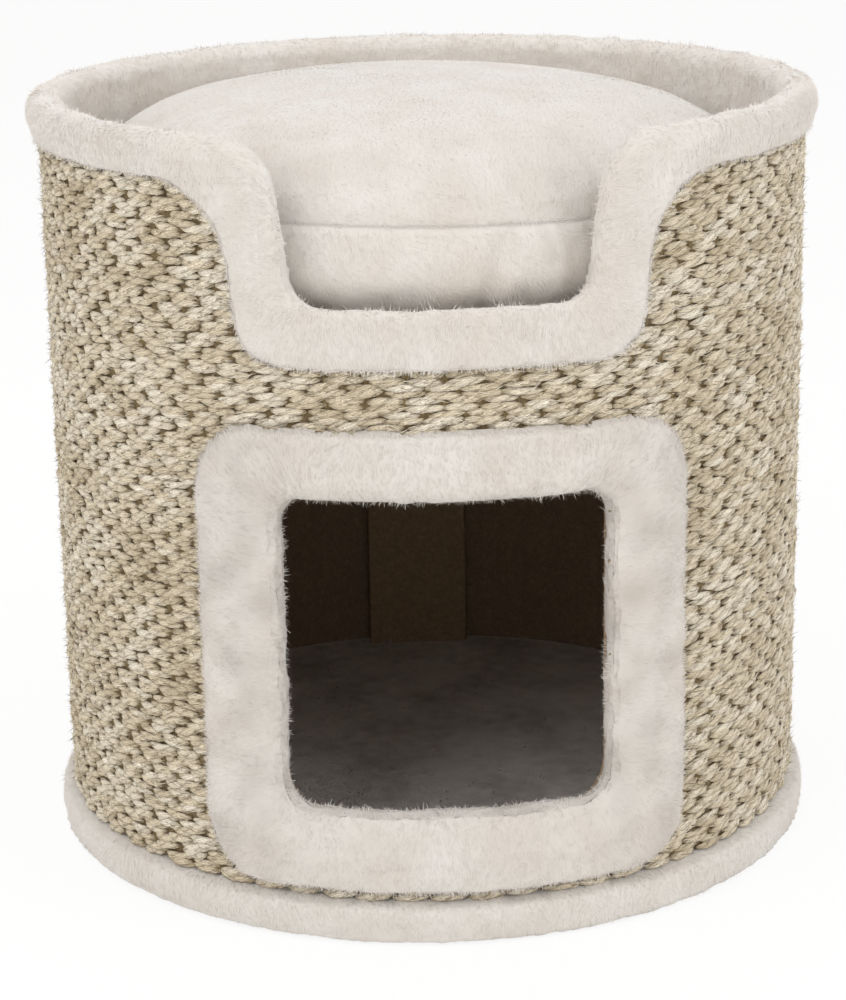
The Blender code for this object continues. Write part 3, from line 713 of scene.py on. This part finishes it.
# Painted shadow: the colour is a fifth darker in a narrow line where the seam attribute is near 1.
seam = add_node(tree, "ShaderNodeAttribute", attribute_name="seam")
past = add_node(tree, "ShaderNodeMath", {0: seam.outputs["Fac"], 1: 1.0}, operation="SUBTRACT")
away = add_node(tree, "ShaderNodeMath", {0: past.outputs[0]}, operation="ABSOLUTE")
painted_seam_shadow = add_node(tree, "ShaderNodeMapRange", {0: away.outputs[0], 1: 0.02, 2: 0.12, 3: 0.80, 4: 1.0})
colour = add_node(
    tree, "ShaderNodeMix", {0: 1.0, 6: colour.outputs[2], 7: painted_seam_shadow.outputs[0]},
    data_type="RGBA", blend_type="MULTIPLY",
)
colour = with_painted_shade(tree, colour)
tree.links.new(colour.outputs[2], shader.inputs["Base Color"])
tree.links.new(bump.outputs[0], shader.inputs["Normal"])
shader.inputs["Roughness"].default_value = 0.95
shader.inputs["Sheen Weight"].default_value = 0.3
shader.inputs["Sheen Roughness"].default_value = 0.6

# Plush pile: soft polyester hairs in tufts, which catch the light as a faint sheen. They are painted darker
# toward their roots: painted shade deep in the pile.
plush_pile, tree, shader = new_finish("cream_plush_pile")
ramp = patchy(tree, "DED7CF", "E6E3DF")
tip = add_node(tree, "ShaderNodeAttribute", attribute_name="tip")
# Painted shade: each hair runs from a darker root colour (D6CEC6) to the paler patches at its tip.
colour = add_node(
    tree, "ShaderNodeMix",
    {0: tip.outputs["Fac"], 6: linear("D6CEC6"), 7: ramp.outputs[0]}, data_type="RGBA",
)
colour = with_painted_shade(tree, colour)
tree.links.new(colour.outputs[2], shader.inputs["Base Color"])
shader.inputs["Roughness"].default_value = 0.9
shader.inputs["Sheen Weight"].default_value = 0.3
shader.inputs["Sheen Roughness"].default_value = 0.5


STRAY_PER_M = 65.0
STRAY, STROKE_STRAY = 0.8, 0.003


def unit(rows):
    """The rows of an array, each brought to a length of 1."""
    return rows / np.maximum(np.linalg.norm(rows, axis=1, keepdims=True), 1e-9)


def laid(comb, normals):
    """Directions laid flat in a skin, without what points along its normals."""
    return comb - normals * np.sum(comb * normals, 1, keepdims=True)


def brush(skin, comb, share, sink, across, along):
    """Sinks a skin where it carries pile, by the height that the pile fills, and notes the pile's lie:
    its comb, turned this way and that in soft patches some 15 mm across, and its strokes."""
    places, normals = spots(skin), facing(skin)
    stray = np.array([noise.noise_vector(Vector(spot) * STRAY_PER_M) for spot in places])
    put(skin, places - normals * (sink * share)[:, None])
    fill(skin, "comb", "FLOAT_VECTOR", laid(comb + STRAY * stray, normals))
    fill(skin, "pile", "FLOAT", share)
    strokes = np.stack([across, along, np.zeros_like(along)], 1)
    fill(skin, "nap", "FLOAT_VECTOR", strokes + STROKE_STRAY * stray)


def cloudy(piece, size):
    """A soft noise from about -0.5 to 0.5 on a piece's vertices, with patches of a size in metres."""
    return np.array([noise.noise(Vector(spot) / size) for spot in spots(piece)])


def settle(skin, node, piles):
    """A skin takes its CAD node's place, and its pile rides with it."""
    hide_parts(node)
    body = "cushion" if node == "cushion" else "tower"
    for piece in (skin, *piles):
        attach(piece, body)


BASE_TOP = 0.0208
CAVE_RADIUS, LEDGE_RADIUS = 0.178, 0.188
EDGE_SWELL, SWELL_FROM, SWELL_RUN = 0.0022, 0.185, 0.008
base_cover = plush_skin("plush_base_cover", "base_cover", voxel=0.0028, lumps=0.0008)
places, normals = spots(base_cover), facing(base_cover)
places[:, 2] = np.maximum(places[:, 2], 0.0)
reach = np.hypot(places[:, 0], places[:, 1])
swell = EDGE_SWELL * np.clip((reach - SWELL_FROM) / SWELL_RUN, 0, 1)
places += unit(places * (1, 1, 0)) * swell[:, None]
put(base_cover, places)
outward = unit(places * (1, 1, 0))
on_floor = (reach < CAVE_RADIUS) & (normals[:, 2] > 0.5) & (places[:, 2] > BASE_TOP - 0.004)
on_edge = (reach > LEDGE_RADIUS) & (places[:, 2] > 0.004)
comb = outward * (normals[:, 2:] > 0.3) * 0.9 + (0, 0, -0.7) * (np.abs(normals[:, 2:]) < 0.8)
comb[on_floor] = (0.5, -1.0, 0.0)
arc = np.arctan2(places[:, 0], -places[:, 1]) * WALL_RADIUS
across = np.where(on_floor, places[:, 0], arc)
along = np.where(on_floor, places[:, 1], places[:, 2] - reach)
brush(base_cover, comb, share=on_edge * 1.0, sink=0.0012, across=across, along=along)
base_edge_pile = fibres_on(
    base_cover, "plush_base_edge_pile", plush_pile, per_mm2=0.40, length=0.0032, width=0.0005,
    stand=0.16, scatter=0.15, seed=21,
)
places = spots(base_edge_pile)
places[:, 2] = np.maximum(places[:, 2], 0.0003)
put(base_edge_pile, places)
# Painted shade on the cave floor: a browner, darker tint in soft patches, some 14% on average.
cave_floor_shade = 0.14 + 0.30 * cloudy(base_cover, 0.030) + 0.25 * cloudy(base_cover, 0.007)
fill(base_cover, "pressed", "FLOAT", on_floor * np.clip(cave_floor_shade, 0, 1))
fill(base_cover, "pile", "FLOAT", on_floor)
base_floor_pile = fibres_on(
    base_cover, "plush_cave_floor_pile", plush_pile, per_mm2=0.26, length=0.0050, width=0.0012,
    stand=0.20, scatter=0.30, seed=22,
)
settle(base_cover, "base_cover", (base_edge_pile, base_floor_pile))


# Shelf cover: the same plush over the shelf board, hemmed on its underside. It is the tray's floor, and
# the cushion lies on it.
SHELF_TOP = 0.2887
TRAY_RADIUS = 0.172
shelf_cover = plush_skin("plush_shelf_cover", "shelf_cover", voxel=0.0025, lumps=0.0)
places, normals = spots(shelf_cover), facing(shelf_cover)
reach = np.hypot(places[:, 0], places[:, 1])
on_top = (reach < TRAY_RADIUS) & (normals[:, 2] > 0.5) & (places[:, 2] > SHELF_TOP - 0.001)
comb = np.tile((0.6, -1.0, 0.0), (len(places), 1))
brush(
    shelf_cover, comb, share=on_top * 1.0, sink=0.0, across=places[:, 0], along=places[:, 1]
)
tray_pile = fibres_on(
    shelf_cover, "plush_tray_floor_pile", plush_pile, per_mm2=0.14, length=0.0050, width=0.0016,
    stand=0.22, scatter=0.15, seed=23,
)
settle(shelf_cover, "shelf_cover", (tray_pile,))


# Door trim: a strip of the plush folded through the doorway and glued down, puffy over its fold. The
# pile lies away from the fold on both sides. Its two upright sides are painted browner and darker:
# painted shade.
GLUED_IN, GLUED_OUT = 0.1798, 0.1912
BOX_CORNER = 0.020
FOLD_RUN, FOLD_START = 0.020, -0.002
# From here outward a band's pile is denser by the share EDGE_PILE, to hide the band's cut edge.
DOOR_BAND_EDGE = 0.034
EDGE_PILE = 1.6
DOOR_MIDDLE = (DOOR_LOW + DOOR_HIGH) / 2


def unrolled(places):
    """Arc along the wall and height of each place, and its distance from the middle."""
    arc = np.arctan2(places[:, 0], -places[:, 1]) * WALL_RADIUS
    return arc, places[:, 2], np.hypot(places[:, 0], places[:, 1])


def on_wall(places, along, rise):
    """Directions given along the wall's arc and in height, turned to where each place is."""
    turn = np.arctan2(places[:, 0], -places[:, 1])
    return np.stack([along * np.cos(turn), along * np.sin(turn), rise], 1)


def from_box(arc, z, half_width, low, high):
    """Distance and direction of flat places away from a box with rounded corners."""
    x = np.abs(arc) - half_width + BOX_CORNER
    y = np.abs(z - (low + high) / 2) - (high - low) / 2 + BOX_CORNER
    far = np.hypot(np.maximum(x, 0), np.maximum(y, 0))
    gap = far + np.minimum(np.maximum(x, y), 0) - BOX_CORNER
    along, rise = np.maximum(x, 0), np.maximum(y, 0)
    inner = far < 1e-6
    along[inner], rise[inner] = (x > y)[inner], (x <= y)[inner]
    size = np.maximum(np.hypot(along, rise), 1e-9)
    return gap, np.sign(arc) * along / size, np.sign(z - (low + high) / 2) * rise / size


def glued(reach, gap):
    """True where a folded skin faces the board and the sisal that it is glued to."""
    return (reach < GLUED_OUT) & (reach > GLUED_IN) & (gap > FOLD_START)


def by_fold(gap):
    """1 at the fold, and less with the distance from it."""
    return np.clip(1 - (gap - FOLD_START) / FOLD_RUN, 0, 1)


door_trim = plush_skin("plush_door_trim", "door_trim", voxel=0.0018, lumps=0.0022)
places, normals = spots(door_trim), facing(door_trim)
arc, z, reach = unrolled(places)
gap, along, rise = from_box(arc, z, DOOR_HALF, DOOR_LOW, DOOR_HIGH)
hidden = glued(reach, gap)
fan = np.arctan2(z - DOOR_MIDDLE, np.abs(arc)) * 0.10
sink = 0.0020 + by_fold(gap) * (
    0.0030 * np.abs(along)
    + 0.0012 * np.maximum(along, 0)
    - 0.0042 * np.maximum(rise, 0)
    + 0.0020 * np.maximum(-rise, 0)
)
comb = laid(on_wall(places, along, rise), normals)
brush(door_trim, comb, share=~hidden * 1.0, sink=sink, across=fan, along=gap - reach)
# Painted shade: the upright sides of the band are tinted browner in patches, and the top and bottom hardly.
door_side_shade = 0.125 + 0.18 * cloudy(door_trim, 1 / 70)
fill(door_trim, "pressed", "FLOAT", 0.035 + np.abs(along) * door_side_shade)
edge = (gap > DOOR_BAND_EDGE) & (reach > WALL_RADIUS)
fill(door_trim, "pile", "FLOAT", ~hidden * (1.0 + EDGE_PILE * edge))
door_pile = fibres_on(
    door_trim, "plush_door_trim_pile", plush_pile, per_mm2=0.34, length=0.0034, width=0.0005,
    stand=0.16, scatter=0.18, seed=31,
)
settle(door_trim, "door_trim", (door_pile,))


# Rim cover: the same plush lines the tray, folds over the board's edge along the rim and the notch, and
# ends as a soft band on the sisal. Its pile lies outward from the notch and downward from the rim.
OPEN_ABOVE = 0.60
LINING_RADIUS, LINING_FOOT, LINING_LOW, LINING_HIGH = 0.1770, 0.2915, 0.325, 0.330
THINNED_TOP, THINNED_LOW, THINNED_BY, THINNED_RUN = 0.367, 0.10, 0.40, 0.012
FAN_CENTRE = 0.44
RIM_BAND_EDGE, NOTCH_BAND_EDGE = 0.011, 0.025
rim_cover = plush_skin("plush_rim_cover", "rim_cover", voxel=0.0022, lumps=0.0016)
places, normals = spots(rim_cover), facing(rim_cover)
arc, z, reach = unrolled(places)
proud = np.maximum(reach - WALL_RADIUS, 0)
taper = THINNED_LOW + THINNED_BY * np.clip((THINNED_TOP - z) / THINNED_RUN, 0, 1)
places -= unit(places * (1, 1, 0)) * (taper * proud)[:, None]
put(rim_cover, places)
gap, along, rise = from_box(arc, z, NOTCH_HALF + brim(z), NOTCH_LOW, OPEN_ABOVE)
near_rim = WEAVE_HIGH - z
lean = np.clip(0.5 + (near_rim - gap) / 0.02, 0, 1)
along, rise = along * lean, rise * lean - (1 - lean)
comb = laid(on_wall(places, along, rise), normals)
cut_away = np.minimum(gap, near_rim)
hidden = glued(reach, cut_away)
lining = reach < LINING_RADIUS
fan = np.arctan2(np.abs(arc), FAN_CENTRE - z) * 0.12
across = fan * (1 - lean) + np.abs(arc) * lean
sink = 0.0018 + 0.0012 * (1 - lean) * by_fold(gap)
bare = hidden | (lining & (z < LINING_LOW))
brush(rim_cover, comb, share=~bare * 1.0, sink=sink, across=across, along=cut_away - reach)
past_edge = np.where(lean > 0.99, near_rim - RIM_BAND_EDGE, gap - NOTCH_BAND_EDGE)
edge = (past_edge > 0) & (reach > WALL_RADIUS)
fill(rim_cover, "pile", "FLOAT", ~bare * (1.0 + EDGE_PILE * edge))
rim_pile = fibres_on(
    rim_cover, "plush_rim_pile", plush_pile, per_mm2=0.28, length=0.0034, width=0.0005,
    stand=0.12, scatter=0.14, seed=41,
)
fill(rim_cover, "pile", "FLOAT", ~hidden & lining & (z < LINING_HIGH) & (z > LINING_FOOT))
lining_pile = fibres_on(
    rim_cover, "plush_tray_lining_pile", plush_pile, per_mm2=0.12, length=0.0045, width=0.0014,
    stand=0.20, scatter=0.10, seed=42,
)
settle(rim_cover, "rim_cover", (rim_pile, lining_pile))


# Cushion: a round boxed cushion of the same plush, filled with loose fibre. Its crown and its side band
# swell between two sewn seams, and the side band creases where it is pressed.
SEAM_LOW, SEAM_HIGH = 0.3005, 0.3385
SEAM_LINE = SEAM_HIGH - 0.0030
SEAM_RADIUS, SIDE_RADIUS = 0.1665, 0.150
FILL_PRESSURE, FILL_STEPS, MOST_SWELL = 4.0, 20, 0.005
LOW_BULGE, BULGE_HEIGHT, BULGE_SPREAD = 0.014, 0.306, 0.012
CROWN_SETTLED = 0.93
GROOVE, GROOVE_HALF = 0.0015, 0.0014
SETTLED_TILT = 0.012
WALL_ROOM, UNDERSIDE, HIGHEST = 0.1715, 0.2890, 0.3830
# Each crease: where it is round the cushion, its half width, both in radians, and its depth in metres.
CREASES = ((0.20, 0.035, 0.0022), (-0.95, 0.04, 0.0018), (1.6, 0.05, 0.0020), (2.9, 0.04, 0.0018))
cushion = plush_skin("plush_cushion", "cushion", voxel=0.0050, lumps=0.0)
rest = spots(cushion)
reach = np.hypot(rest[:, 0], rest[:, 1])
at_seam = (reach > 0.160) & (np.abs(rest[:, 2] - SEAM_HIGH) < 0.004)
underneath = rest[:, 2] < 0.2925
pins = cushion.vertex_groups.new(name="sewn")
pins.add(np.flatnonzero(at_seam | underneath).tolist(), 1.0, "REPLACE")
cloth = cushion.modifiers.new("filling", "CLOTH")
cloth.settings.use_pressure = True
cloth.settings.uniform_pressure_force = FILL_PRESSURE
cloth.settings.effector_weights.gravity = 0.0
cloth.settings.vertex_group_mass = "sewn"
cloth.settings.shrink_min = -0.02
scene = bpy.context.scene
scene.frame_start, scene.frame_end = 1, FILL_STEPS
cloth.point_cache.frame_start, cloth.point_cache.frame_end = 1, FILL_STEPS
for step in range(1, FILL_STEPS + 1):
    scene.frame_set(step)
only(cushion)
bpy.ops.object.modifier_apply(modifier="filling")
scene.frame_set(1)
move = spots(cushion) - rest
size = np.linalg.norm(move, axis=1, keepdims=True)
put(cushion, rest + move * np.minimum(1, MOST_SWELL / np.maximum(size, 1e-9)))
give(cushion, "SUBSURF", levels=1, render_levels=1)
places, normals = spots(cushion), facing(cushion)
reach = np.hypot(places[:, 0], places[:, 1])
low_bulge = np.exp(-(((places[:, 2] - BULGE_HEIGHT) / BULGE_SPREAD) ** 2))
low_bulge *= np.clip((reach - 0.145) / 0.012, 0, 1)
places[:, :2] *= (1 + LOW_BULGE * low_bulge)[:, None]
crown = places[:, 2] > SEAM_HIGH
places[crown, 2] = SEAM_HIGH + (places[crown, 2] - SEAM_HIGH) * CROWN_SETTLED
groove = np.exp(-(((places[:, 2] - SEAM_LINE) / GROOVE_HALF) ** 2)) * (reach > 0.155)
places -= normals * (GROOVE * groove)[:, None]
turn = np.arctan2(places[:, 0], -places[:, 1])
on_side = np.clip((reach - SIDE_RADIUS) / 0.008, 0, 1)
on_side *= np.clip((SEAM_HIGH - places[:, 2]) / 0.006, 0, 1)
for where, width, depth in CREASES:
    slant = turn - where - (places[:, 2] - SEAM_HIGH) * 2.2
    places -= normals * (depth * on_side * np.exp(-((slant / width) ** 2)))[:, None]
# The height from the seam line, noted for the painted seam shadow in the plush ground.
from_seam = (places[:, 2] - SEAM_LINE) * 100 * (reach > SIDE_RADIUS) + (reach <= SIDE_RADIUS)
fill(cushion, "seam", "FLOAT", 1 + from_seam)
places[:, 2] -= SETTLED_TILT * places[:, 0] * np.clip((places[:, 2] - SEAM_LOW) / 0.03, 0, 1)
places[:, :2] *= np.minimum(1, WALL_ROOM / np.maximum(reach, 1e-9))[:, None]
places[:, 2] = np.clip(places[:, 2], UNDERSIDE, HIGHEST)
put(cushion, places)
above = places[:, 2] + SETTLED_TILT * places[:, 0] - SEAM_LINE
top = (above > 0.0008) & ((normals[:, 2] > 0.1) | (reach > SIDE_RADIUS))
side = (reach > 0.158) & (above < -0.0002) & (places[:, 2] > 0.293)
swirl = 0.9 * np.sin(places[:, 0] * 23.0 + 1.3)
swirl += 0.8 * np.sin(places[:, 1] * 19.0 + places[:, 0] * 11.0)
comb = np.stack([np.sin(swirl), -np.cos(swirl), np.zeros_like(swirl)], 1)
comb[side] = (0.5, 0.0, -0.6)
comb = laid(comb, normals)
across = np.where(side, np.arctan2(places[:, 0], -places[:, 1]) * SEAM_RADIUS, places[:, 0])
along = np.where(side, places[:, 2], places[:, 1] + 0.3 * places[:, 0])
brush(cushion, comb, share=top * 1.0, sink=0.0008, across=across, along=along)
# Painted shade: the crown's colour is mixed 7% toward dark brown, to darken its top where the light falls.
fill(cushion, "pressed", "FLOAT", top * 0.07)
cushion_top_pile = fibres_on(
    cushion, "plush_cushion_top_pile", plush_pile, per_mm2=0.20, length=0.0026, width=0.0004,
    stand=0.10, scatter=0.10, seed=51,
)
fill(cushion, "pile", "FLOAT", side)
cushion_side_pile = fibres_on(
    cushion, "plush_cushion_side_pile", plush_pile, per_mm2=0.34, length=0.0032, width=0.0005,
    stand=0.14, scatter=0.14, seed=52,
)
settle(cushion, "cushion", (cushion_top_pile, cushion_side_pile))
